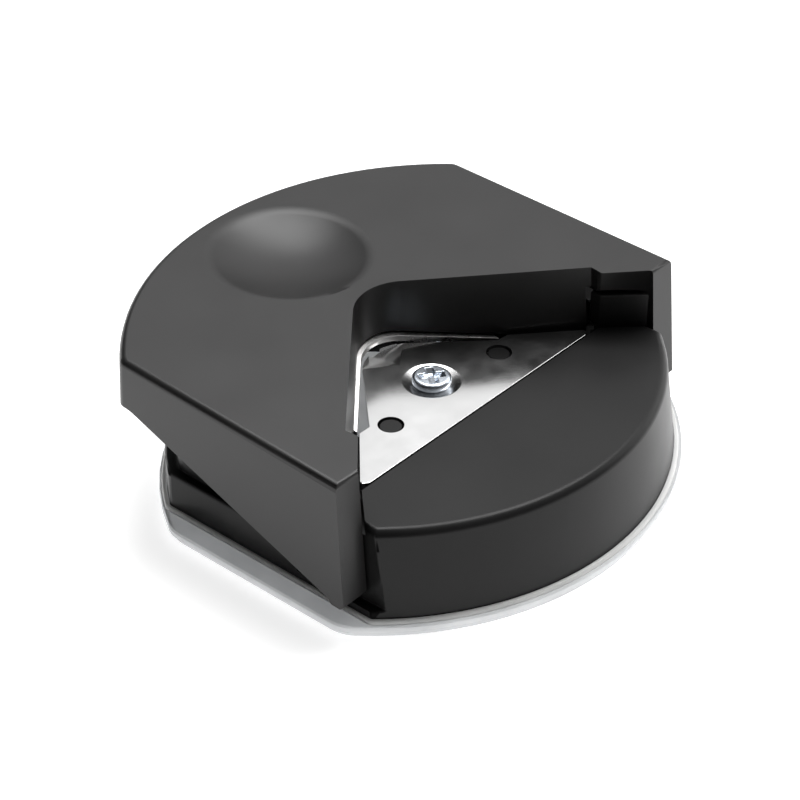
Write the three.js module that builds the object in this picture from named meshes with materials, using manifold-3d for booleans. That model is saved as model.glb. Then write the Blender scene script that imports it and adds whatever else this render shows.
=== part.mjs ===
// Palm-sized corner rounder: a press lever with a steel punch over a fixed die plate, on a chip tray.
// Millimetres, +Z up. The card goes in from -Y, the thumb presses the rear (+Y) of the lever.
import * as THREE from 'three';
import { mergeVertices } from 'three/addons/utils/BufferGeometryUtils.js';
import Module from 'manifold-3d';

const wasm = await Module();
wasm.setup();

// ---------------------------------------------------------------- driving dimensions
const GAP = 0.3;                        // clearance between separate pieces
const FAR = 40;                         // beyond the part's edges, for cutting bodies
const HIGH = 20;                        // above the base

// plan outlines: front arc, straight sides, rear arc
const FRONT_ARC_Y = 4.76;               // centre of every front arc
const REAR_ARC_Y = -8.3;                // centre of every rear arc
const BASE = {
  bottom: 2.1, top: 13.63, frontRadiusBottom: 37.6, frontRadiusTop: 36.1, deckEdge: 1.0,
  halfWidth: 28.2, rearRadius: 34.7, ledge: 7.0, earLedge: 3.2, earRecessEnd: -8.5,
  upperHalfWidth: 26.9, upperRearRadius: 33.4, wall: 1.8, deckUnderside: 10.2,
  bodyRear: 6.0, crossWallTop: 9.4, wellHalfWidth: 22.45, wellFrontY: -11.7, platform: 8.2, platformUnderside: 6.4, platformFrontY: -12.5,
  rearWallTop: 11.0, frontArcEnd: -0.82, axleBayHalfWidth: 25.1, axleBayHalfDepth: 2.2, axleBayTop: 11.93,
};
const TRAY = { top: 1.9, floor: 1.2, halfWidth: 31.3, frontRadius: 38.6, rearRadius: 35.6, corner: 4.5,
  ringTop: 4.6, ringHalfWidth: 24.7, ringFront: 35.3, ringRear: 31.2, ringWall: 1.2 };

// lever, in its own plane: u across, v rearward, w up from its top face
const LEVER = {
  originY: -17.29, originZ: 21.25, restTilt: 1.42, thickness: 2.7, frontHalfWidth: 31, rearHalfWidth: 30.3,
  rearArcV: 7.09, rearRadius: 40.7, rearCorner: 1.4, edgeRadius: 0.9, skirt: 1.8, skirtDepth: 6.5,
  earInner: 27.2, earEnd: 7.5, earBottom: 16.8, earLean: 1.62, spreadAtBottom: 0.24,
};
// the lever's side view in (v, w): front edge, ear, rising lower edge, rear skirt, top with a front chamfer
const LEVER_SIDE = [[-LEVER.earLean, -16.3], [-1.15, -LEVER.earBottom], [0.2, -LEVER.earBottom],
  [0.8, -16.15], [32.5, -6.6], [33.3, -LEVER.skirtDepth], [55, -LEVER.skirtDepth], [55, 1], [0.5, 1],
  [0.5, 0], [0.15, -0.13], [0, -0.5]];
const NOTCH = { arcV: 16.0, arcRadius: 6.75, armAngle: 39.6, armEnd: 22.6, stepU: 22.2, stepV: 4.5,
  wingV: 0.2, wall: 1.8, wallEnd: 22.0, draft: 0.085, bottomSlope: 0.19, bottomAtZero: -10.87 };
const THUMB = { v: 35.4, radius: 10.7, depth: 2.1, padRadius: 11.4, padUnderside: 4.4 };
const PIVOT = { y: -15.2, z: 10.2, radius: 1.5, halfLength: 29.6 };

// the hole in the platform that the chips fall through, right half from front to rear
const CHUTE = [[9, -1.2], [9, 9.4], [5.5, 13.2]];

// die: straight cutting edges at |x| + y = edge, joined by a rounded corner; its lip is folded down
const DIE = { top: 13.4, thickness: 1.0, edge: 6.65, corner: 5.5, frontY: -12.75, shoulderEdge: 8.3,
  tipEdge: 9.0, shoulderY: -5.45, tipX: 20.9, tipBlunt: 0.75, gap: 0.45, lipRootY: 0.2, lipX: 3.9,
  lipSideY: 3.05, lipTipY: 4.7, lipDrop: 0.8, pegX: 10.06, pegY: -7.16,
  holeRadius: 1.6, screwY: -4.9, dishRadius: 3.55, dishFloorRadius: 2.55, dishDepth: 0.3 };
const PUNCH = { proud: 1.1, armU: 13.2, rearHalf: 4.0, rearV: 28.4, slope: 0.17, apexW: -7.9 };
// towers at the deck's sides: their slanting front faces stop the card, behind a narrow groove
const GUIDE = { edge: 9.7, inner: 22.55, outer: 26.8, rearY: -11.3, top: 18.0, grooveInner: 22.1,
  grooveEdge: 8.85, grooveFloor: 12.5 };
const SPRING = { x: 15.5, y: 13.0, coilRadius: 2.6, wireRadius: 0.35, turns: 6, postRadius: 1.7, post: 2.5 };
const BLADE_SCREWS = { left: [-10, 18.6], right: [10, 18.6], rear: [0, 26.3] };
const STOP = { v: 34.8, bossRadius: 3.5, bossUnderside: 5.6, washerRadius: 3.2, washerTop: -12.35, washer: 0.8, bridgeUnderside: 10.0, bridgeTop: 11.6,
  hatRadius: 5.5, boreRadius: 4.2, slotRadius: 2.3 };

const BLADE_SCREW = { head: 1.8, headHeight: 1.1, shank: 1.0, length: 4.2, holeTop: -3.2, bossRadius: 2.75 };
const STOP_SCREW = { head: 2.6, headHeight: 1.8, shank: 1.5, length: 9.0, holeTop: -3.4 };
const DIE_SCREW = { head: 2.4, headHeight: 1.1, shank: 1.45, length: 5.4, cross: 1.6, bossRadius: 3.2 };
const DIE_OVERHANG = 0.2;               // how far the die plate's cutting edges stand out over the deck

const RAD = Math.PI / 180;
const ROOT2 = Math.SQRT2;

// ---------------------------------------------------------------- solids from three.js geometry
const vec = ([x, y]) => new THREE.Vector2(x, y);

function solid(geometry) {
  const bare = geometry.clone();
  for (const name of Object.keys(bare.attributes)) if (name !== 'position') bare.deleteAttribute(name);
  const merged = mergeVertices(bare, 1e-4);
  const points = merged.attributes.position;
  const faces = [];
  for (let i = 0; i < merged.index.count; i += 3) {
    const [a, b, c] = [0, 1, 2].map((k) => merged.index.getX(i + k));
    if (a !== b && b !== c && c !== a) faces.push(a, b, c);
  }
  const corner = (i) => new THREE.Vector3().fromBufferAttribute(points, i);
  let volume = 0;
  for (let i = 0; i < faces.length; i += 3) {
    volume += corner(faces[i]).dot(corner(faces[i + 1]).cross(corner(faces[i + 2])));
  }
  if (volume < 0) faces.reverse();
  return new wasm.Manifold(new wasm.Mesh({
    numProp: 3, vertProperties: new Float32Array(points.array), triVerts: new Uint32Array(faces),
  }));
}

function geometryOf(manifold) {
  const mesh = manifold.getMesh();
  const geometry = new THREE.BufferGeometry();
  geometry.setAttribute('position', new THREE.BufferAttribute(mesh.vertProperties, 3));
  geometry.setIndex(new THREE.BufferAttribute(mesh.triVerts, 1));
  geometry.computeVertexNormals();
  return geometry;
}

function prism(points, z0, z1) {
  const shape = new THREE.Shape(points.map(vec));
  const geometry = new THREE.ExtrudeGeometry(shape, { depth: z1 - z0, bevelEnabled: false });
  return solid(geometry.translate(0, 0, z0));
}

// a prism along X whose profile is given in the (y, z) plane
function crossPrism(profile, x0, x1) {
  const shape = new THREE.Shape(profile.map(vec));
  const geometry = new THREE.ExtrudeGeometry(shape, { depth: x1 - x0, bevelEnabled: false });
  const toYZ = new THREE.Matrix4().set(0, 0, 1, x0, 1, 0, 0, 0, 0, 1, 0, 0, 0, 0, 0, 1);
  return solid(geometry.applyMatrix4(toYZ));
}

// a body through plan outlines that share one number of points, each at its own height
function loft(sections) {
  const count = sections[0].points.length;
  const positions = [];
  for (const { points, z } of sections) for (const [x, y] of points) positions.push(x, y, z);
  const faces = [];
  for (let s = 0; s + 1 < sections.length; s += 1) {
    for (let i = 0; i < count; i += 1) {
      const j = (i + 1) % count;
      const [a, b, c, d] = [s * count + i, s * count + j, (s + 1) * count + j, (s + 1) * count + i];
      faces.push(a, b, c, a, c, d);
    }
  }
  const cap = (index, flip) => {
    const offset = index * count;
    const triangles = THREE.ShapeUtils.triangulateShape(sections[index].points.map(vec), []);
    for (const t of triangles) {
      const [a, b, c] = flip ? [t[0], t[2], t[1]] : t;
      faces.push(offset + a, offset + b, offset + c);
    }
  };
  cap(0, true);
  cap(sections.length - 1, false);
  const geometry = new THREE.BufferGeometry();
  geometry.setAttribute('position', new THREE.Float32BufferAttribute(positions, 3));
  geometry.setIndex(faces);
  return solid(geometry);
}

function turned(profile, x, y, segments = 32) {
  const geometry = new THREE.LatheGeometry(profile.map(vec), segments).rotateX(Math.PI / 2);
  return solid(geometry.translate(x, y, 0));
}

const rod = (x, y, radius, z0, z1, segments = 28) =>
  turned([[0, z0], [radius, z0], [radius, z1], [0, z1]], x, y, segments);

function crossRod(y, z, radius, x0, x1, segments = 28) {
  const geometry = new THREE.CylinderGeometry(radius, radius, x1 - x0, segments).rotateZ(Math.PI / 2);
  return solid(geometry.translate((x0 + x1) / 2, y, z));
}

const block = (x0, x1, y0, y1, z0, z1) =>
  solid(new THREE.BoxGeometry(x1 - x0, y1 - y0, z1 - z0)
    .translate((x0 + x1) / 2, (y0 + y1) / 2, (z0 + z1) / 2));

const sideBlock = (side, near, far, ...rest) =>
  block(Math.min(side * near, side * far), Math.max(side * near, side * far), ...rest);

const onAxis = ([x]) => Math.abs(x) < 1e-6;
const mirrored = (points) =>
  [...points, ...points.filter((p) => !onAxis(p)).map(([x, y]) => [-x, y]).reverse()];
const bothSides = (make) => make(1).add(make(-1));

function arc(cx, cy, radius, from, to, steps) {
  return Array.from({ length: steps + 1 }, (_, i) => {
    const angle = from + ((to - from) * i) / steps;
    return [cx + radius * Math.cos(angle), cy + radius * Math.sin(angle)];
  });
}

// ---------------------------------------------------------------- plan outlines
// right half of a body with a front arc, a straight side and a rear arc, then its mirror image
function bodyOutline(frontRadius, halfWidth, rearRadius, frontCorner = 0.6, rearCorner = 1.2, inset = 0,
  frontArcEnd = null) {
  const steps = frontCorner > 2 ? 5 : 2;
  const [rf, w, rr] = [frontRadius - inset, halfWidth - inset, rearRadius - inset];
  const [f, g] = [frontCorner, rearCorner];
  const frontY = FRONT_ARC_Y - Math.sqrt((rf - f) ** 2 - (w - f) ** 2);
  const rearY = REAR_ARC_Y + Math.sqrt((rr - g) ** 2 - (w - g) ** 2);
  const frontAngle = Math.atan2(frontY - FRONT_ARC_Y, w - f);
  const rearAngle = Math.atan2(rearY - REAR_ARC_Y, w - g);
  const right = [
    ...arc(0, FRONT_ARC_Y, rf, -Math.PI / 2, frontArcEnd ?? frontAngle, 15),
    ...arc(w - f, frontY, f, frontAngle, 0, steps).slice(frontArcEnd === null ? 1 : 0),
    ...arc(w - g, rearY, g, 0, rearAngle, steps),
    ...arc(0, REAR_ARC_Y, rr, rearAngle, Math.PI / 2, 10).slice(1),
  ];
  return mirrored(right);
}

function leverOutline(inset) {
  const [front, rear, radius] = [LEVER.frontHalfWidth - inset, LEVER.rearHalfWidth - inset,
    LEVER.rearRadius - inset];
  const f = LEVER.rearCorner;
  const cornerV = LEVER.rearArcV + Math.sqrt((radius - f) ** 2 - (rear - f) ** 2);
  const angle = Math.atan2(cornerV - LEVER.rearArcV, rear - f);
  const right = [
    [front, -LEVER.earLean - 0.2 + Math.max(inset, 0)],
    ...arc(rear - f, cornerV, f, 0, angle, 3),
    ...arc(0, LEVER.rearArcV, radius, angle, Math.PI / 2, 18).slice(1),
  ];
  return mirrored(right);
}

// V opening in the lever, at a distance behind (+) or in front of (-) its face
function notchFace(offset, end) {
  const angle = NOTCH.armAngle * RAD;
  const radius = NOTCH.arcRadius + offset;
  const tangent = [radius * Math.sin(angle), NOTCH.arcV + radius * Math.cos(angle)];
  const endV = tangent[1] - (end - tangent[0]) * Math.tan(angle);
  return [[end, endV], ...arc(0, NOTCH.arcV, radius, Math.PI / 2 - angle, Math.PI / 2, 8)];
}

// right half of a 45 degree corner at |x| + y = edge, rounded to a radius, from its arm end to the middle
function roundedCorner(edge, radius, armX, steps = 9) {
  const centreY = edge - radius * ROOT2;
  return [[armX, edge - armX], ...arc(0, centreY, radius, Math.PI / 4, Math.PI / 2, steps)];
}

// ---------------------------------------------------------------- chip tray
function chipTray() {
  const rim = (inset, z) => ({ z,
    points: bodyOutline(TRAY.frontRadius, TRAY.halfWidth, TRAY.rearRadius, TRAY.corner, TRAY.corner, inset) });
  const plate = loft([rim(0.75, 0), rim(0.6, 0.15), rim(0.5, 0.8), rim(0.12, 0.95), rim(0, 1.1), rim(0, 1.7),
    rim(0.2, TRAY.top)]);
  const ringOutline = (inset) =>
    bodyOutline(TRAY.ringFront, TRAY.ringHalfWidth, TRAY.ringRear, 2.5, 2.5, inset);
  const ring = prism(ringOutline(0), TRAY.floor, TRAY.ringTop);
  const pocket = prism(ringOutline(TRAY.ringWall), TRAY.floor, TRAY.ringTop + 1);
  return plate.add(ring).subtract(pocket);
}

// ---------------------------------------------------------------- base housing
const baseFrontRadius = (z) => THREE.MathUtils.mapLinear(z, BASE.bottom, BASE.top,
  BASE.frontRadiusBottom, BASE.frontRadiusTop);

function dieOutline() {
  const { edge, frontY, shoulderEdge, shoulderY, tipEdge, tipX: tip, tipBlunt: blunt } = DIE;
  return mirrored([
    [tip - blunt, frontY], [tip, frontY + blunt * 0.7], [tip - blunt * 0.15, tipEdge - tip + blunt * 0.15],
    [shoulderEdge - shoulderY, shoulderY],
    ...roundedCorner(edge, DIE.corner, edge - shoulderY),
  ]);
}

// the recess for the die plate, with sharp front corners, and the well behind the plate's cutting edges
function pocketOutline() {
  const edge = DIE.edge + DIE.gap * ROOT2;
  const shoulderEdge = DIE.shoulderEdge + DIE.gap * ROOT2;
  const tipEdge = DIE.tipEdge + DIE.gap * ROOT2;
  const frontY = DIE.frontY - DIE.gap;
  const shoulderY = DIE.shoulderY + DIE.gap;
  return mirrored([[tipEdge - frontY, frontY], [shoulderEdge - shoulderY, shoulderY],
    ...roundedCorner(edge, DIE.corner + DIE.gap, edge - shoulderY)]);
}

function wellOutline() {
  const back = DIE_OVERHANG * ROOT2;
  const edge = DIE.edge - back;
  return mirrored([[BASE.wellHalfWidth, BASE.bodyRear], [BASE.wellHalfWidth, BASE.wellFrontY],
    [DIE.tipEdge - back - BASE.wellFrontY, BASE.wellFrontY],
    [DIE.shoulderEdge - back - DIE.shoulderY, DIE.shoulderY],
    ...roundedCorner(edge, DIE.corner - DIE_OVERHANG, edge - DIE.shoulderY)]);
}

function fullSection(z, inset = 0) {
  return { z, points: bodyOutline(baseFrontRadius(z), BASE.halfWidth, BASE.rearRadius, 0.6, 1.2, inset,
    BASE.frontArcEnd) };
}

function upperSection(z, inset = 0) {
  return { z, points: bodyOutline(baseFrontRadius(z), BASE.upperHalfWidth, BASE.upperRearRadius, 0.6, 3.0,
    inset, BASE.frontArcEnd) };
}

function baseOuter() {
  const edge = (angle) => upperSection(BASE.top - BASE.deckEdge * (1 - Math.sin(angle)),
    BASE.deckEdge * (1 - Math.cos(angle)));
  const deck = loft([upperSection(BASE.ledge - 1), upperSection(BASE.top - BASE.deckEdge),
    ...[30, 60, 90].map((a) => edge(a * RAD))]);
  const frontHalf = block(-FAR, FAR, -FAR, BASE.bodyRear, 0, HIGH);
  const rear = loft([upperSection(BASE.ledge - 1), upperSection(BASE.rearWallTop)]);
  const rearPit = loft([upperSection(BASE.platform, 1.6), upperSection(BASE.rearWallTop + 1, 1.6)])
    .subtract(block(-FAR, FAR, -FAR, BASE.bodyRear, 0, HIGH));
  const lower = loft([fullSection(BASE.bottom), fullSection(BASE.ledge - 0.35), fullSection(BASE.ledge, 0.35)]);
  const earRecess = bothSides((side) => sideBlock(side, BASE.upperHalfWidth, FAR, -FAR, BASE.earRecessEnd,
    BASE.earLedge, HIGH));
  const slanted = (edge, x0, x1) => [[x0, edge - x0], [x1, edge - x1]];
  const guides = bothSides((side) => prism([...slanted(GUIDE.edge, GUIDE.inner, GUIDE.outer),
    [GUIDE.outer, GUIDE.rearY], [GUIDE.inner, GUIDE.rearY]].map(([x, y]) => [side * x, y]),
    BASE.deckUnderside, GUIDE.top));
  const grooves = bothSides((side) => prism([...slanted(GUIDE.grooveEdge, GUIDE.grooveInner, GUIDE.outer + 1),
    ...slanted(GUIDE.edge, GUIDE.outer + 1, GUIDE.grooveInner)].map(([x, y]) => [side * x, y]),
    GUIDE.grooveFloor, GUIDE.top));
  return lower.subtract(earRecess).add(deck.intersect(frontHalf)).add(rear).subtract(rearPit)
    .subtract(grooves).add(guides);
}

function baseHousing() {
  const inner = (z) => ({ z, points: bodyOutline(baseFrontRadius(z) - BASE.wall,
    BASE.upperHalfWidth - BASE.wall, BASE.upperRearRadius - BASE.wall, 1, 2) });
  const lowerCavity = loft([inner(BASE.bottom - 1), inner(BASE.platformUnderside)]);
  const frontCavity = loft([inner(BASE.bottom - 1), inner(BASE.deckUnderside)])
    .intersect(block(-FAR, FAR, -FAR, BASE.bodyRear - BASE.wall, 0, HIGH))
    .subtract(block(-FAR, FAR, BASE.platformFrontY, BASE.bodyRear, BASE.platformUnderside, BASE.platform));
  const axleBay = block(-BASE.axleBayHalfWidth, BASE.axleBayHalfWidth, PIVOT.y - BASE.axleBayHalfDepth,
    PIVOT.y + BASE.axleBayHalfDepth, BASE.deckUnderside - 1, BASE.axleBayTop);
  const axleHole = crossRod(PIVOT.y, PIVOT.z, PIVOT.radius + GAP, -30, 30);

  // the deck ends at the line of the cutting edges: the lever's wall and punch dip behind it when pressed
  const well = prism(wellOutline(), BASE.crossWallTop, HIGH);
  const diePocket = prism(pocketOutline(), DIE.top - DIE.thickness - GAP, HIGH);
  const dishRelief = rod(0, DIE.screwY, DIE.dishRadius + 0.4, 11.55, 14);

  const chute = prism(mirrored(CHUTE), 0, BASE.crossWallTop + 0.1);

  const stopY = LEVER.originY + STOP.v * Math.cos(LEVER.restTilt * RAD);
  const stopHat = rod(0, stopY, STOP.hatRadius, BASE.platformUnderside, STOP.bridgeTop);
  const stopBore = rod(0, stopY, STOP.boreRadius, 0, STOP.bridgeUnderside);
  const stopSlot = rod(0, stopY, STOP.slotRadius, 0, HIGH);
  const springPosts = bothSides((s) => rod(s * SPRING.x, SPRING.y, SPRING.postRadius,
    BASE.platform - 0.5, BASE.platform + SPRING.post, 20));
  const pegs = bothSides((s) => rod(s * DIE.pegX, DIE.pegY, DIE.holeRadius - GAP,
    DIE.top - DIE.thickness - 1, DIE.top - 0.2, 24));
  const screwBoss = rod(0, DIE.screwY, DIE_SCREW.bossRadius, BASE.platformUnderside, BASE.deckUnderside + 0.5);
  const screwHole = rod(0, DIE.screwY, DIE_SCREW.shank + GAP, BASE.platformUnderside + 0.8, HIGH);

  return baseOuter()
    .subtract(well).subtract(lowerCavity).subtract(frontCavity).subtract(axleBay).subtract(axleHole)
    .subtract(diePocket).subtract(dishRelief).subtract(chute)
    .add(screwBoss).subtract(screwHole).add(pegs).add(springPosts)
    .add(stopHat).subtract(stopBore).subtract(stopSlot);
}

// ---------------------------------------------------------------- die plate and its screw
// cuts the top of the plate's corner into two facets that fall towards its tip
function dieLipCutter() {
  const { lipRootY, lipX, lipSideY, lipTipY } = DIE;
  const rim = [[0, lipRootY, 0], [lipX, lipSideY, 0], [0, lipTipY, -DIE.lipDrop], [-lipX, lipSideY, 0]];
  const positions = [...rim.flatMap(([x, y, drop]) => [x, y, DIE.top + drop]),
    ...rim.flatMap(([x, y]) => [x, y, DIE.top + 2])];
  const sides = [0, 1, 2, 3].flatMap((i) => {
    const j = (i + 1) % 4;
    return [i, j, j + 4, i, j + 4, i + 4];
  });
  const faces = [0, 2, 1, 0, 3, 2, 4, 5, 6, 4, 6, 7, ...sides];
  const geometry = new THREE.BufferGeometry();
  geometry.setAttribute('position', new THREE.Float32BufferAttribute(positions, 3));
  geometry.setIndex(faces);
  return solid(geometry);
}

function diePlate() {
  const bottom = DIE.top - DIE.thickness;
  const [r, f, d] = [DIE.dishRadius, DIE.dishFloorRadius, DIE.dishDepth];
  const dishTop = turned([[0, DIE.top - d], [f, DIE.top - d], [r, DIE.top], [r, DIE.top + 1],
    [0, DIE.top + 1]], 0, DIE.screwY, 40);
  const dishBottom = turned([[0, bottom - d], [f, bottom - d], [r, bottom], [r, bottom + 0.3],
    [0, bottom + 0.3]], 0, DIE.screwY, 40);
  const holes = bothSides((s) => rod(s * DIE.pegX, DIE.pegY, DIE.holeRadius, 10, 15, 32));
  return prism(dieOutline(0), bottom, DIE.top).add(dishBottom).subtract(dishTop).subtract(holes)
    .subtract(rod(0, DIE.screwY, DIE_SCREW.shank + GAP, 8, 15)).subtract(dieLipCutter());
}

// a pan-head screw standing head up on the height z, with a cross recess if it has a cross size
function panScrew(x, y, z, { head: headRadius, headHeight, shank: shankRadius, length, cross: crossSize = 0 }) {
  const crown = arc(0, 0, 1, 0, Math.PI / 2, crossSize ? 5 : 2)
    .map(([c, s]) => [headRadius * (0.55 + 0.45 * c), z + headHeight * (0.45 + 0.55 * s)]);
  const segments = crossSize ? 32 : 18;
  const head = turned([[0, z], [headRadius * 0.94, z], ...crown.slice(0, -1), [0, z + headHeight]],
    x, y, segments);
  const shank = rod(x, y, shankRadius, z - length, z + 0.2, 14);
  if (!crossSize) return head.add(shank);
  const slot = (long, wide) => {
    const shape = (k) => [[-long * k, -wide * k], [long * k, -wide * k], [long * k, wide * k],
      [-long * k, wide * k]].map(([a, b]) => [x + a, y + b]);
    return loft([{ points: shape(0.35), z: z + headHeight * 0.2 },
      { points: shape(1.05), z: z + headHeight * 1.1 }]);
  };
  const tip = rod(x, y, crossSize * 0.42, z + headHeight * 0.25, z + headHeight + 1, 16);
  return head.add(shank).subtract(slot(crossSize, crossSize * 0.3))
    .subtract(slot(crossSize * 0.3, crossSize)).subtract(tip);
}

// ---------------------------------------------------------------- lever, in (u, v, w)
const bladeScrewHoles = (top) => Object.values(BLADE_SCREWS)
  .map(([u, v]) => rod(u, v, BLADE_SCREW.shank + GAP, -HIGH, top, 20)).reduce((a, b) => a.add(b));
const wallBottom = (v) => NOTCH.bottomAtZero + NOTCH.bottomSlope * v;

function leverCover() {
  const section = (inset, w) => ({ z: w, points: leverOutline(inset) });
  const rounded = [0, 30, 60, 90].map((a) => section(LEVER.edgeRadius * (1 - Math.cos(a * RAD)),
    -LEVER.edgeRadius * (1 - Math.sin(a * RAD))));
  const outer = loft([section(-LEVER.spreadAtBottom, -LEVER.earBottom - 0.2), ...rounded]);
  const side = crossPrism(LEVER_SIDE, -FAR, FAR);

  const inside = prism(leverOutline(LEVER.skirt), -20, -LEVER.thickness);
  const ears = bothSides((side) => sideBlock(side, LEVER.earInner, FAR, -5, LEVER.earEnd, -HIGH, 0));
  const wall = prism(mirrored([[NOTCH.wallEnd, -5], ...notchFace(NOTCH.wall, NOTCH.wallEnd)]), -20, -1);
  const bosses = Object.values(BLADE_SCREWS).map(([u, v]) => rod(u, v, BLADE_SCREW.bossRadius, -HIGH, -1, 24))
    .reduce((a, b) => a.add(b));
  const aboveBottom = crossPrism([[-10, wallBottom(-10)], [50, wallBottom(50)], [50, 0], [-10, 0]], -FAR, FAR);
  const holder = wall.add(bosses).intersect(aboveBottom);

  const notchSection = (w) => ({ z: w, points: mirrored([[LEVER.earInner, -6], [LEVER.earInner, NOTCH.wingV],
    [NOTCH.stepU, NOTCH.stepV], ...notchFace(NOTCH.draft * Math.min(w, 0), NOTCH.armEnd)]) });
  const notchCut = loft([notchSection(-20), notchSection(0), notchSection(5)]);
  const bowl = (THUMB.radius ** 2 + THUMB.depth ** 2) / (2 * THUMB.depth);
  const halfAngle = Math.asin(THUMB.radius / bowl);
  const bowlArc = arc(0, bowl - THUMB.depth, bowl, -Math.PI / 2, halfAngle - Math.PI / 2, 7);
  const dish = turned([...bowlArc, [THUMB.radius, 1], [0, 1]], 0, THUMB.v, 44);
  const pad = rod(0, THUMB.v, THUMB.padRadius, -THUMB.padUnderside, -LEVER.thickness + 0.5, 36);

  const springV = (SPRING.y - LEVER.originY) / Math.cos(LEVER.restTilt * RAD);
  const springPosts = bothSides((s) => rod(s * SPRING.x, springV, SPRING.postRadius,
    -LEVER.thickness - SPRING.post, -LEVER.thickness + 0.5, 20));
  const stopBoss = rod(0, STOP.v, STOP.bossRadius, -STOP.bossUnderside, -LEVER.thickness + 0.5);
  const [pivotV, pivotW] = pivotInLever();
  const socket = crossRod(pivotV, pivotW, PIVOT.radius + GAP, -PIVOT.halfLength - 0.5, PIVOT.halfLength + 0.5);
  const screwHoles = bladeScrewHoles(BLADE_SCREW.holeTop);

  return outer.intersect(side).subtract(inside.subtract(ears).subtract(holder)).add(pad)
    .add(springPosts).add(stopBoss).subtract(dish).subtract(notchCut).subtract(socket).subtract(screwHoles)
    .subtract(rod(0, STOP.v, STOP_SCREW.shank + GAP, -HIGH, STOP_SCREW.holeTop, 20));
}

function pivotInLever() {
  const tilt = LEVER.restTilt * RAD;
  const [dy, dz] = [PIVOT.y - LEVER.originY, PIVOT.z - LEVER.originZ];
  return [dy * Math.cos(tilt) + dz * Math.sin(tilt), -dy * Math.sin(tilt) + dz * Math.cos(tilt)];
}

function pivotAxle() {
  const [v, w] = pivotInLever();
  return crossRod(v, w, PIVOT.radius, -PIVOT.halfLength, PIVOT.halfLength, 32);
}

const PUNCH_APEX_V = NOTCH.arcV + NOTCH.arcRadius - PUNCH.proud;
const punchUnderside = (v) => PUNCH.apexW + PUNCH.slope * Math.min(v - PUNCH_APEX_V, 0);

function punchBlade() {
  const inner = notchFace(-PUNCH.proud, PUNCH.armU);
  const rearV = PUNCH.rearV - (PUNCH.armU - PUNCH.rearHalf);
  const outline = mirrored([[PUNCH.rearHalf, PUNCH.rearV], [PUNCH.armU, rearV], ...inner]);
  const top = (v) => wallBottom(v) - GAP;
  const [front, rear] = [inner[0][1] - 1, PUNCH.rearV + 1];
  const side = crossPrism([[front, punchUnderside(front)], [PUNCH_APEX_V, PUNCH.apexW],
    [rear, PUNCH.apexW], [rear, top(rear)], [front, top(front)]], -FAR, FAR);
  return prism(outline, -HIGH, 0).intersect(side).subtract(bladeScrewHoles(0));
}

// a screw that hangs head down: its head's bearing face is at the height w
const hangingScrew = (u, v, w, screw) => panScrew(u, -v, -w, screw).rotate([180, 0, 0]);

// ---------------------------------------------------------------- return springs
class Helix extends THREE.Curve {
  constructor(x, y, z0, z1) {
    super();
    Object.assign(this, { x, y, z0, z1 });
  }

  getPoint(t, target = new THREE.Vector3()) {
    const angle = t * SPRING.turns * 2 * Math.PI;
    return target.set(this.x + SPRING.coilRadius * Math.cos(angle),
      this.y + SPRING.coilRadius * Math.sin(angle), this.z0 + t * (this.z1 - this.z0));
  }
}

function returnSpring(side) {
  const wire = new THREE.Shape();
  wire.absarc(0, 0, SPRING.wireRadius, 0, 2 * Math.PI, false);
  const ceiling = LEVER.originZ - LEVER.thickness
    + (SPRING.y - SPRING.coilRadius - LEVER.originY) * Math.sin(LEVER.restTilt * RAD);
  const path = new Helix(side * SPRING.x, SPRING.y, BASE.platform + GAP + SPRING.wireRadius,
    ceiling - GAP - SPRING.wireRadius);
  const geometry = new THREE.ExtrudeGeometry(wire, { steps: SPRING.turns * 11, extrudePath: path,
    curveSegments: 3, bevelEnabled: false });
  return solid(geometry);
}

// ---------------------------------------------------------------- assembly
const finish = {
  plastic: { color: 0x3b3b3c, roughness: 0.45, metalness: 0 },
  plate: { color: 0xc9cacb, roughness: 0.2, metalness: 1 },
  steel: { color: 0xb4b6b8, roughness: 0.3, metalness: 1 },
  zinc: { color: 0xc6ccd2, roughness: 0.3, metalness: 1 },
  clear: { color: 0xb6babc, roughness: 0.25, metalness: 0, transparent: true, opacity: 0.8 },
};

function piece(name, manifold, look) {
  const mesh = new THREE.Mesh(geometryOf(manifold), new THREE.MeshStandardMaterial(finish[look]));
  mesh.name = name;
  return mesh;
}

const fixed = new THREE.Group();
fixed.add(
  piece('chip_tray', chipTray(), 'clear'),
  piece('base_housing', baseHousing(), 'plastic'),
  piece('die_plate', diePlate(), 'plate'),
  piece('die_screw', panScrew(0, DIE.screwY, DIE.top - DIE.dishDepth + 0.02, DIE_SCREW), 'zinc'),
  piece('return_spring_left', returnSpring(-1), 'steel'),
  piece('return_spring_right', returnSpring(1), 'steel'),
);

const lever = new THREE.Group();
lever.position.set(0, LEVER.originY, LEVER.originZ);
lever.rotation.x = LEVER.restTilt * RAD;
lever.add(
  piece('lever_cover', leverCover(), 'plastic'),
  piece('pivot_axle', pivotAxle(), 'steel'),
  piece('punch_blade', punchBlade(), 'steel'),
);
for (const [name, [u, v]] of Object.entries(BLADE_SCREWS)) {
  const seat = punchUnderside(v - BLADE_SCREW.head) - GAP;
  lever.add(piece(`blade_screw_${name}`, hangingScrew(u, v, seat, BLADE_SCREW), 'zinc'));
}
const washerBottom = STOP.washerTop - STOP.washer;
const washerHole = STOP_SCREW.shank + GAP;
lever.add(
  piece('stop_washer', turned([[washerHole, washerBottom], [STOP.washerRadius, washerBottom],
    [STOP.washerRadius, STOP.washerTop], [washerHole, STOP.washerTop], [washerHole, washerBottom]],
    0, STOP.v, 32), 'zinc'),
  piece('stop_screw', hangingScrew(0, STOP.v, washerBottom - GAP, STOP_SCREW), 'zinc'),
);

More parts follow.
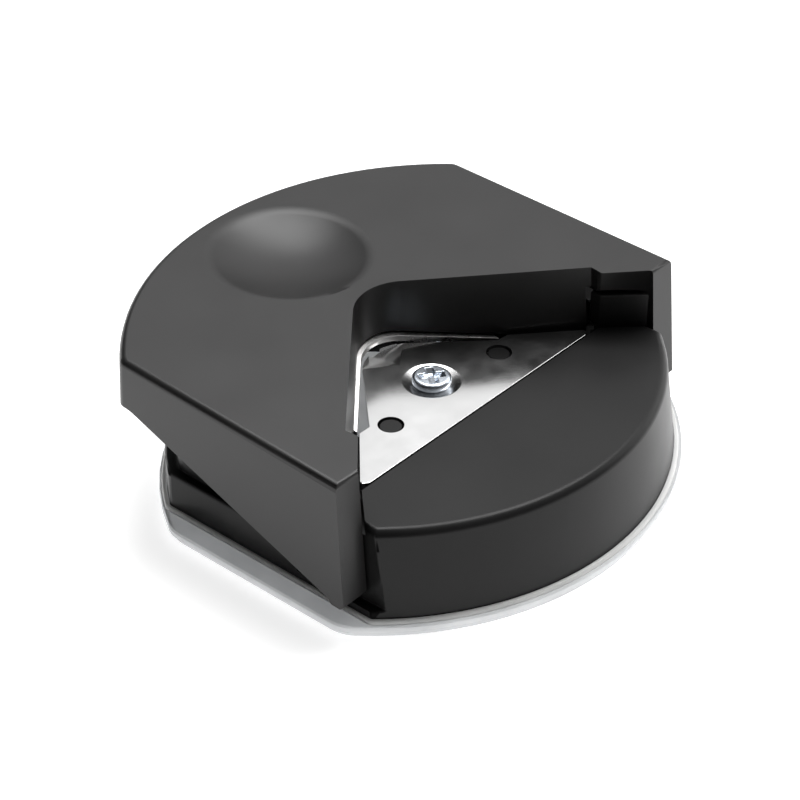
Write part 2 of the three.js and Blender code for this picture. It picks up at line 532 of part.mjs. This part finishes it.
const rounder = new THREE.Group();
rounder.add(fixed, lever);
rounder.updateMatrixWorld(true);
const extent = new THREE.Box3().setFromObject(rounder, true);
const middle = extent.getCenter(new THREE.Vector3());
rounder.position.set(-middle.x, -middle.y, -extent.min.z);

export default rounder;
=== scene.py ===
"""Looks of the palm-sized corner rounder: meshes, materials, light and camera round the CAD frame."""

import math

import bmesh
import bpy
from mathutils import Matrix, Vector


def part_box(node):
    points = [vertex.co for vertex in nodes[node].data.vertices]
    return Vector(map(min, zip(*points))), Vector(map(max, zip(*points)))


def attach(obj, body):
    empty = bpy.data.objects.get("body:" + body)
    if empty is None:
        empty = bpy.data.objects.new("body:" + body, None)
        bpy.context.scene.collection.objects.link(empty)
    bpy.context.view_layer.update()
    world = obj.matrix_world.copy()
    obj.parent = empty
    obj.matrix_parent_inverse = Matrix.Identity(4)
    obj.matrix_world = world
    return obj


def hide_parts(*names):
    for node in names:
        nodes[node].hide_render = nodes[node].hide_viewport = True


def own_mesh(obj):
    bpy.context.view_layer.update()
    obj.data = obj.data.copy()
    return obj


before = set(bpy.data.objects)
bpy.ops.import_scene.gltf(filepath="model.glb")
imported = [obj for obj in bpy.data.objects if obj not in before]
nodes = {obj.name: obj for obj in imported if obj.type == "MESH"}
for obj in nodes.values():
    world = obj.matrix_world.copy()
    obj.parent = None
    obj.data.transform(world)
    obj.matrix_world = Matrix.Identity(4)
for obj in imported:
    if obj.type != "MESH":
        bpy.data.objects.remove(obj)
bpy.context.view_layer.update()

MM = 0.001


# ---------------------------------------------------------------- places worked out from the frame
def foot_of_head(node, height):
    """The point under the head of an upright screw, on its axis."""
    low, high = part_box(node)
    middle = (low + high) / 2
    return Vector((middle.x, middle.y, high.z - height * MM))


# ---------------------------------------------------------------- node helpers
def new_material(name):
    material = bpy.data.materials.new(name)
    material.use_nodes = True
    tree = material.node_tree
    shader = tree.nodes["Principled BSDF"]
    return material, tree, shader


def coordinates(tree, scale=(1, 1, 1)):
    """Object coordinates in metres, stretched by a scale."""
    source = tree.nodes.new("ShaderNodeTexCoord")
    mapping = tree.nodes.new("ShaderNodeMapping")
    mapping.inputs["Scale"].default_value = scale
    tree.links.new(source.outputs["Object"], mapping.inputs["Vector"])
    return mapping.outputs["Vector"]


def noise(tree, vector, scale, detail=3.0, roughness=0.5):
    node = tree.nodes.new("ShaderNodeTexNoise")
    node.inputs["Scale"].default_value = scale
    node.inputs["Detail"].default_value = detail
    node.inputs["Roughness"].default_value = roughness
    tree.links.new(vector, node.inputs["Vector"])
    return node.outputs["Fac"]


def spread(tree, value, low, high, start=0.3, end=0.7):
    """Maps a noise value onto a range of numbers."""
    node = tree.nodes.new("ShaderNodeMapRange")
    node.inputs["From Min"].default_value = start
    node.inputs["From Max"].default_value = end
    node.inputs["To Min"].default_value = low
    node.inputs["To Max"].default_value = high
    tree.links.new(value, node.inputs["Value"])
    return node.outputs["Result"]


def tint(tree, value, dark, light, start=0.3, end=0.7):
    """Maps a noise value onto two colours."""
    node = tree.nodes.new("ShaderNodeValToRGB")
    node.color_ramp.elements[0].position = start
    node.color_ramp.elements[0].color = (*dark, 1)
    node.color_ramp.elements[1].position = end
    node.color_ramp.elements[1].color = (*light, 1)
    tree.links.new(value, node.inputs["Fac"])
    return node.outputs["Color"]


def bump(tree, height, distance, strength=1.0, normal=None):
    node = tree.nodes.new("ShaderNodeBump")
    node.inputs["Distance"].default_value = distance
    node.inputs["Strength"].default_value = strength
    tree.links.new(height, node.inputs["Height"])
    if normal is not None:
        tree.links.new(normal, node.inputs["Normal"])
    return node.outputs["Normal"]


# ---------------------------------------------------------------- materials
def moulded_plastic(name, dark, light, rough, grain, gloss):
    """Satin black ABS: fine spark-eroded grain, faint flow marks and a little handling polish."""
    material, tree, shader = new_material(name)
    place = coordinates(tree)
    flow = noise(tree, place, 90, 4)
    fine = noise(tree, place, 5200, 2)
    tree.links.new(tint(tree, flow, dark, light), shader.inputs["Base Color"])
    tree.links.new(spread(tree, flow, rough - 0.03, rough + 0.04), shader.inputs["Roughness"])
    tree.links.new(bump(tree, fine, grain * MM), shader.inputs["Normal"])
    shader.inputs["IOR"].default_value = 1.5
    shader.inputs["Specular IOR Level"].default_value = gloss
    return material


def brushed_metal(name, dark, light, rough, stretch, line_depth, scuff):
    """Polished or ground steel: drawn lines along one way and small scuffs."""
    material, tree, shader = new_material(name)
    lines = noise(tree, coordinates(tree, stretch), 1, 5, 0.6)
    patches = noise(tree, coordinates(tree), 260, 4)
    tree.links.new(tint(tree, patches, dark, light), shader.inputs["Base Color"])
    tree.links.new(spread(tree, patches, rough - scuff, rough + scuff), shader.inputs["Roughness"])
    tree.links.new(bump(tree, lines, line_depth * MM), shader.inputs["Normal"])
    shader.inputs["Metallic"].default_value = 1
    return material


def clear_plastic(name, dark, light, clear):
    """Smoky clear tray: polystyrene with slightly cloudy body and moulding ripples."""
    material, tree, shader = new_material(name)
    place = coordinates(tree)
    cloud = noise(tree, place, 140, 3)
    tree.links.new(tint(tree, cloud, dark, light), shader.inputs["Base Color"])
    tree.links.new(spread(tree, cloud, 0.10, 0.2), shader.inputs["Roughness"])
    tree.links.new(bump(tree, cloud, 0.05 * MM), shader.inputs["Normal"])
    shader.inputs["IOR"].default_value = 1.5
    shader.inputs["Transmission Weight"].default_value = clear
    return material


LEVER_PLASTIC = moulded_plastic("lever_plastic", (0.0088, 0.0084, 0.0084), (0.0125, 0.012, 0.012),
                                0.35, 0.006, 0.42)
BASE_PLASTIC = moulded_plastic("base_plastic", (0.0075, 0.0074, 0.0075), (0.0105, 0.0103, 0.0104),
                               0.34, 0.005, 0.20)
PLATE_STEEL = brushed_metal("plate_steel", (0.70, 0.70, 0.70), (0.78, 0.78, 0.78), 0.17,
                            (900, 40000, 900), 0.0006, 0.03)
PUNCH_STEEL = brushed_metal("punch_steel", (0.58, 0.57, 0.56), (0.76, 0.75, 0.74), 0.30,
                            (9000, 9000, 9000), 0.012, 0.06)
ZINC = brushed_metal("zinc_plating", (0.62, 0.68, 0.76), (0.78, 0.83, 0.90), 0.22,
                     (6000, 6000, 6000), 0.004, 0.05)
DRAWN_STEEL = brushed_metal("drawn_steel", (0.42, 0.42, 0.43), (0.56, 0.56, 0.57), 0.33,
                            (800, 12000, 12000), 0.003, 0.05)
TRAY_PLASTIC = clear_plastic("tray_plastic", (0.62, 0.63, 0.64), (0.76, 0.77, 0.78), 0.24)
# A lighter, less clear copy of the tray plastic for the bead: a painted highlight line along the base's foot.
TRAY_BEAD_PAINTED_HIGHLIGHT = clear_plastic("tray_bead_painted_highlight", (0.80, 0.81, 0.80), (0.92, 0.92, 0.91), 0.15)


# ---------------------------------------------------------------- finished pieces over the CAD solids
MERGE = 0.002        # points closer than this, in mm, are one
FLAT_ANGLE = 0.6     # faces that meet within this, in degrees, are one flat
ROOM = 3             # an edge is rounded if the edges round it are this many radii long


def weigh_edges(shape, radius, sharp):
    """Marks the sharp edges that have room for the rounding: not the ones next to a very short edge."""
    weight = shape.edges.layers.float.new("bevel_weight_edge")
    for edge in shape.edges:
        shortest = min(near.calc_length() for corner in edge.verts for near in corner.link_edges)
        if edge.calc_face_angle(0) > math.radians(sharp) and shortest > ROOM * radius * MM:
            edge[weight] = 1.0


def finished_copy(node, name, body, material, radius, steps=3, sharp=38):
    """A copy of a CAD solid with its flats merged and its sharp edges rounded to a moulding radius."""
    mesh = nodes[node].data.copy()
    mesh.name = name
    shape = bmesh.new()
    shape.from_mesh(mesh)
    bmesh.ops.remove_doubles(shape, verts=shape.verts, dist=MERGE * MM)
    bmesh.ops.dissolve_limit(shape, angle_limit=math.radians(FLAT_ANGLE), verts=shape.verts,
                             edges=shape.edges)
    weigh_edges(shape, radius, sharp)
    shape.to_mesh(mesh)
    shape.free()
    mesh.materials.clear()
    mesh.materials.append(material)
    piece = bpy.data.objects.new(name, mesh)
    bpy.context.scene.collection.objects.link(piece)
    edge = piece.modifiers.new("moulding_radius", "BEVEL")
    edge.width = radius * MM
    edge.segments = steps
    edge.limit_method = "WEIGHT"
    edge.use_clamp_overlap = False
    edge.miter_outer = "MITER_ARC"
    apply_modifiers(piece)
    smooth(piece, sharp)
    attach(piece, body)
    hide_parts(node)
    return piece


def apply_modifiers(piece):
    depsgraph = bpy.context.evaluated_depsgraph_get()
    result = bpy.data.meshes.new_from_object(piece.evaluated_get(depsgraph))
    piece.modifiers.clear()
    piece.data = result


def smooth(piece, sharp):
    """Smooth shading that keeps edges over an angle crisp, weighted by face area."""
    piece.data.shade_smooth()
    piece.data.set_sharp_from_angle(angle=math.radians(sharp))
    weighted = piece.modifiers.new("flat_faces_stay_flat", "WEIGHTED_NORMAL")
    weighted.keep_sharp = True
    weighted.weight = 60


def finish_cad(node, material, sharp=35):
    """A CAD node that keeps its shape gets its material and smooth shading."""
    piece = nodes[node]
    piece.data.materials.clear()
    piece.data.materials.append(material)
    piece.data.shade_smooth()
    piece.data.set_sharp_from_angle(angle=math.radians(sharp))


finished_copy("lever_cover", "lever_shell", "lever", LEVER_PLASTIC, 0.3)
finished_copy("base_housing", "base_shell", "base", BASE_PLASTIC, 0.22)
finished_copy("chip_tray", "tray_shell", "tray", TRAY_PLASTIC, 0.1, 2)
finished_copy("die_plate", "die_sheet", "base", PLATE_STEEL, 0.12, 4, 12)
finished_copy("punch_blade", "punch_bar", "lever", PUNCH_STEEL, 0.06, 2)
finish_cad("pivot_axle", DRAWN_STEEL)
for node in ("blade_screw_left", "blade_screw_right", "blade_screw_rear", "stop_screw", "stop_washer"):
    finished_copy(node, node + "_turned", "lever", ZINC, 0.12, 2)


# ---------------------------------------------------------------- the pan-head screw that holds the die plate
HEAD = {"radius": 2.4, "height": 1.1, "flat": 0.8, "rim": 0.66, "shank": 1.45, "length": 5.4,
        "arm": 1.65, "arm_half_width": 0.5, "depth": 0.62, "wall": 3.0, "turn": 53.0}


def crown_height(radius):
    """Height of the pan head above its bearing face at a distance from its middle."""
    flat, rim = HEAD["flat"] * HEAD["radius"], HEAD["rim"]
    if radius <= flat:
        return HEAD["height"]
    run = min((radius - flat) / (HEAD["radius"] - flat), 1)
    return HEAD["height"] * (rim + (1 - rim) * math.sqrt(1 - run * run))


def recess_depth(x, y):
    """Depth of the cross recess: four tapered arms with sloping ends."""
    along, across = max(abs(x), abs(y)), min(abs(x), abs(y))
    side = (HEAD["arm_half_width"] + 0.08 * (HEAD["arm"] - along) - across) * HEAD["wall"]
    end = (HEAD["arm"] - along) * 1.2
    return max(0.0, min(HEAD["depth"], side, end))


def pan_head_screw(name, foot, body, material):
    """A screw standing on a point, with its cross recess and shank in one closed mesh."""
    around = 144
    across = 44
    radii = [HEAD["radius"] * k / across for k in range(1, across + 1)]
    turn = math.radians(HEAD["turn"])
    rings = []
    for radius in radii:
        ring = []
        for k in range(around):
            angle = 2 * math.pi * k / around
            x, y = radius * math.cos(angle), radius * math.sin(angle)
            ring.append((x, y, crown_height(radius) - recess_depth(x, y)))
        rings.append(ring)
    under = [(HEAD["radius"], 0.32), (HEAD["radius"] * 0.97, 0.06), (HEAD["radius"] * 0.94, 0.0),
             (HEAD["shank"], 0.0), (HEAD["shank"], 0.4 - HEAD["length"]),
             (HEAD["shank"] - 0.4, -HEAD["length"])]
    for radius, height in under:
        angles = [2 * math.pi * k / around for k in range(around)]
        rings.append([(radius * math.cos(a), radius * math.sin(a), height) for a in angles])
    points = [(0, 0, HEAD["height"] - HEAD["depth"])] + [p for ring in rings for p in ring]
    points.append((0, 0, -HEAD["length"]))
    faces = [(0, 1 + k, 1 + (k + 1) % around) for k in range(around)]
    for r in range(len(rings) - 1):
        first = 1 + r * around
        for k in range(around):
            after = (k + 1) % around
            faces.append((first + k, first + around + k, first + around + after, first + after))
    last = 1 + (len(rings) - 1) * around
    faces += [(last + k, len(points) - 1, last + (k + 1) % around) for k in range(around)]
    mesh = bpy.data.meshes.new(name)
    mesh.from_pydata(points, [], faces)
    mesh.transform(Matrix.Translation(foot) @ Matrix.Rotation(turn, 4, "Z") @ Matrix.Scale(MM, 4))
    mesh.materials.append(material)
    piece = bpy.data.objects.new(name, mesh)
    bpy.context.scene.collection.objects.link(piece)
    mesh.shade_smooth()
    mesh.set_sharp_from_angle(angle=math.radians(50))
    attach(piece, body)
    return piece


die_screw = pan_head_screw("die_screw_head", foot_of_head("die_screw", HEAD["height"]), "base",
                           ZINC)
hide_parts("die_screw")


# ---------------------------------------------------------------- return springs
SPRING = {"wire": 0.35, "turns": 6.0, "closed": 0.9, "sides": 12, "steps_per_turn": 40}


def coil_lift(turn):
    """Share of a spring's height that a turn has reached: the end coils lie flat, as they are wound."""
    closed, turns = SPRING["closed"], SPRING["turns"] + 2 * SPRING["closed"]
    pitch_closed = 2.2 * SPRING["wire"]
    open_turns = turns - 2 * closed
    if turn < closed:
        return "start", pitch_closed * turn
    if turn > turns - closed:
        return "end", pitch_closed * (turns - turn)
    return "middle", (turn - closed) / open_turns


def return_spring(node, material):
    """Drawn wire wound into a compression spring between its CAD solid's ends."""
    low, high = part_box(node)
    wire = SPRING["wire"] * MM
    axis = (low + high) / 2
    radius = (high.x - low.x) / 2 - wire
    bottom, top = low.z + wire, high.z - wire
    turns = SPRING["turns"] + 2 * SPRING["closed"]
    count = int(turns * SPRING["steps_per_turn"])
    closed_height = 2.2 * SPRING["wire"] * SPRING["closed"] * MM
    path = []
    for k in range(count + 1):
        turn = turns * k / count
        part, value = coil_lift(turn)
        if part == "start":
            z = bottom + value * MM
        elif part == "end":
            z = top - value * MM
        else:
            z = bottom + closed_height + value * (top - bottom - 2 * closed_height)
        angle = 2 * math.pi * turn
        path.append(Vector((axis.x + radius * math.cos(angle), axis.y + radius * math.sin(angle), z)))
    sides = SPRING["sides"]
    points, faces = [], []
    for k, place in enumerate(path):
        outward = Vector((place.x - axis.x, place.y - axis.y, 0)).normalized()
        ahead = (path[min(k + 1, count)] - path[max(k - 1, 0)]).normalized()
        lift = ahead.cross(outward).normalized()
        for j in range(sides):
            angle = 2 * math.pi * j / sides
            points.append(place + wire * (math.cos(angle) * outward + math.sin(angle) * lift))
    for k in range(count):
        for j in range(sides):
            after = (j + 1) % sides
            faces.append((k * sides + j, k * sides + after, (k + 1) * sides + after, (k + 1) * sides + j))
    faces.append(tuple(range(sides - 1, -1, -1)))
    faces.append(tuple(count * sides + j for j in range(sides)))
    mesh = bpy.data.meshes.new(node + "_wire")
    mesh.from_pydata([tuple(p) for p in points], [], faces)
    shape = bmesh.new()
    shape.from_mesh(mesh)
    bmesh.ops.recalc_face_normals(shape, faces=shape.faces)
    shape.to_mesh(mesh)
    shape.free()
    mesh.materials.append(material)
    mesh.shade_smooth()
    mesh.set_sharp_from_angle(angle=math.radians(50))
    spring = bpy.data.objects.new(node + "_wire", mesh)
    bpy.context.scene.collection.objects.link(spring)
    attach(spring, "base")
    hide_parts(node)
    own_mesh(spring)


# ---------------------------------------------------------------- the tray's bead round the base's foot
FOOT = {"front_arc_y": 4.76, "rear_arc_y": -8.3, "front_radius": 37.65, "rear_radius": 34.75,
        "half_width": 28.25, "front_corner": 0.65, "rear_corner": 1.25, "tray_front_radius": 38.6}
BEAD = {"width": 0.55, "height": 0.42, "steps": 5}
TRAY_TOP = 1.9       # the height of the tray's flat top, in mm


def arc(x, y, radius, start, end, steps):
    return [(x + radius * math.cos(start + (end - start) * k / steps),
             y + radius * math.sin(start + (end - start) * k / steps)) for k in range(steps + 1)]


def foot_outline(grow):
    """The base's outline at the tray: the right half from front to rear, then the left half back again."""
    front, rear, half = (FOOT[k] + grow for k in ("front_radius", "rear_radius", "half_width"))
    f, r = FOOT["front_corner"] + grow, FOOT["rear_corner"] + grow
    front_y = FOOT["front_arc_y"] - math.sqrt((front - f) ** 2 - (half - f) ** 2)
    rear_y = FOOT["rear_arc_y"] + math.sqrt((rear - r) ** 2 - (half - r) ** 2)
    front_angle = math.atan2(front_y - FOOT["front_arc_y"], half - f)
    rear_angle = math.atan2(rear_y - FOOT["rear_arc_y"], half - r)
    right = arc(0, FOOT["front_arc_y"], front, -math.pi / 2, front_angle, 40)
    right += arc(half - f, front_y, f, front_angle, 0, 6)[1:]
    right += arc(half - r, rear_y, r, 0, rear_angle, 6)
    right += arc(0, FOOT["rear_arc_y"], rear, rear_angle, math.pi / 2, 40)[1:]
    return right + [(-x, y) for x, y in reversed(right[1:-1])]


def tray_bead():
    """A small rounded rib on the tray that the base's foot sits inside."""
    tray_low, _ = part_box("chip_tray")
    shift = tray_low.y / MM - (FOOT["front_arc_y"] - FOOT["tray_front_radius"])
    flat = TRAY_TOP
    profile = [(0.0, flat - 0.1), (0.0, flat + BEAD["height"])]
    for k in range(1, BEAD["steps"] + 1):
        angle = math.pi / 2 * (1 - k / BEAD["steps"])
        profile.append((BEAD["width"] * (0.25 + 0.75 * math.cos(angle)),
                        flat + BEAD["height"] * math.sin(angle)))
    profile.append((BEAD["width"], flat - 0.1))
    rings = [[(x, y + shift, z) for x, y in foot_outline(grow)] for grow, z in profile]
    count = len(rings[0])
    points = [p for ring in rings for p in ring]
    faces = []
    for r in range(len(rings)):
        after = (r + 1) % len(rings)
        for k in range(count):
            nxt = (k + 1) % count
            faces.append((r * count + k, r * count + nxt, after * count + nxt, after * count + k))
    mesh = bpy.data.meshes.new("tray_bead")
    mesh.from_pydata(points, [], faces)
    mesh.transform(Matrix.Scale(MM, 4))
    shape = bmesh.new()
    shape.from_mesh(mesh)
    bmesh.ops.recalc_face_normals(shape, faces=shape.faces)
    shape.to_mesh(mesh)
    shape.free()
    # The bead wears the lighter copy of the tray plastic: a painted highlight along the base's foot.
    mesh.materials.append(TRAY_BEAD_PAINTED_HIGHLIGHT)
    mesh.shade_smooth()
    mesh.set_sharp_from_angle(angle=math.radians(50))
    bead = bpy.data.objects.new("tray_bead", mesh)
    bpy.context.scene.collection.objects.link(bead)
    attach(bead, "tray")


tray_bead()
for node in ("return_spring_left", "return_spring_right"):
    return_spring(node, DRAWN_STEEL)


# ---------------------------------------------------------------- floor, light and camera
def studio_floor():
    mesh = bpy.data.meshes.new("studio_floor")
    half = 3.0
    corners = [(-half, -half, 0), (half, -half, 0), (half, half, 0), (-half, half, 0)]
    mesh.from_pydata(corners, [], [(0, 1, 2, 3)])
    floor = bpy.data.objects.new("studio_floor", mesh)
    bpy.context.scene.collection.objects.link(floor)
    material, _, shader = new_material("white_sweep")
    shader.inputs["Base Color"].default_value = (0.9, 0.9, 0.9, 1)
    shader.inputs["Roughness"].default_value = 0.9
    shader.inputs["Specular IOR Level"].default_value = 0.1
    shader.inputs["Emission Color"].default_value = (1, 1, 1, 1)
    shader.inputs["Emission Strength"].default_value = 0.70
    mesh.materials.append(material)


def soft_light(name, azimuth, elevation, distance, width, height, power):
    """A rectangular softbox that looks at the object from an azimuth and elevation in degrees."""
    az, el = math.radians(azimuth), math.radians(elevation)
    away = Vector((math.sin(az) * math.cos(el), -math.cos(az) * math.cos(el), math.sin(el)))
    data = bpy.data.lights.new(name, "AREA")
    data.shape = "RECTANGLE"
    data.size = width
    data.size_y = height
    data.energy = power
    light = bpy.data.objects.new(name, data)
    light.location = away * distance
    light.rotation_euler = away.to_track_quat("Z", "Y").to_euler()
    bpy.context.scene.collection.objects.link(light)


BRIGHT_SIDE = (0.62, 0.00, 0.78)   # the light tent glows from the top and right; its front and left are dark


def studio_light():
    world = bpy.data.worlds.new("studio")
    world.use_nodes = True
    tree = world.node_tree
    direction = tree.nodes.new("ShaderNodeTexCoord")
    toward = tree.nodes.new("ShaderNodeVectorMath")
    toward.operation = "DOT_PRODUCT"
    toward.inputs[1].default_value = BRIGHT_SIDE
    tree.links.new(direction.outputs["Generated"], toward.inputs[0])
    glow = tint(tree, toward.outputs["Value"], (0.03, 0.03, 0.03), (1, 1, 1), 0.0, 1.0)
    middle = glow.node.color_ramp.elements.new(0.5)
    middle.color = (0.28, 0.28, 0.28, 1)
    tree.links.new(glow, tree.nodes["Background"].inputs["Color"])
    tree.nodes["Background"].inputs["Strength"].default_value = 0.7
    bpy.context.scene.world = world
    soft_light("rear_softbox", 128, 40, 1.0, 0.85, 0.7, 1.0)
    soft_light("top_softbox", 112, 66, 1.0, 0.74, 0.44, 8.5)
    soft_light("right_softbox", 75, 22, 1.0, 0.8, 0.6, 2.4)


CAMERA = {"azimuth": -49.44, "elevation": 35.431, "roll": 0.507, "distance": 329.42 * MM, "lens": 121.18}


def studio_camera(target):
    az, el, roll = (math.radians(CAMERA[k]) for k in ("azimuth", "elevation", "roll"))
    back = Vector((math.sin(az) * math.cos(el), -math.cos(az) * math.cos(el), math.sin(el)))
    level = Vector((math.cos(az), math.sin(az), 0))
    upright = back.cross(level)
    right = math.cos(roll) * level + math.sin(roll) * upright
    up = math.cos(roll) * upright - math.sin(roll) * level
    data = bpy.data.cameras.new("camera")
    data.lens = CAMERA["lens"]
    data.sensor_width = 36
    data.clip_start = 0.01
    camera = bpy.data.objects.new("camera", data)
    camera.matrix_world = Matrix.Translation(target + back * CAMERA["distance"]) @ Matrix(
        (right, up, back)).transposed().to_4x4()
    bpy.context.scene.collection.objects.link(camera)
    bpy.context.scene.camera = camera


studio_floor()
studio_light()
studio_camera(Vector((0.017, 1.649, 8.171)) * MM)
bpy.context.scene.view_settings.view_transform = "Standard"
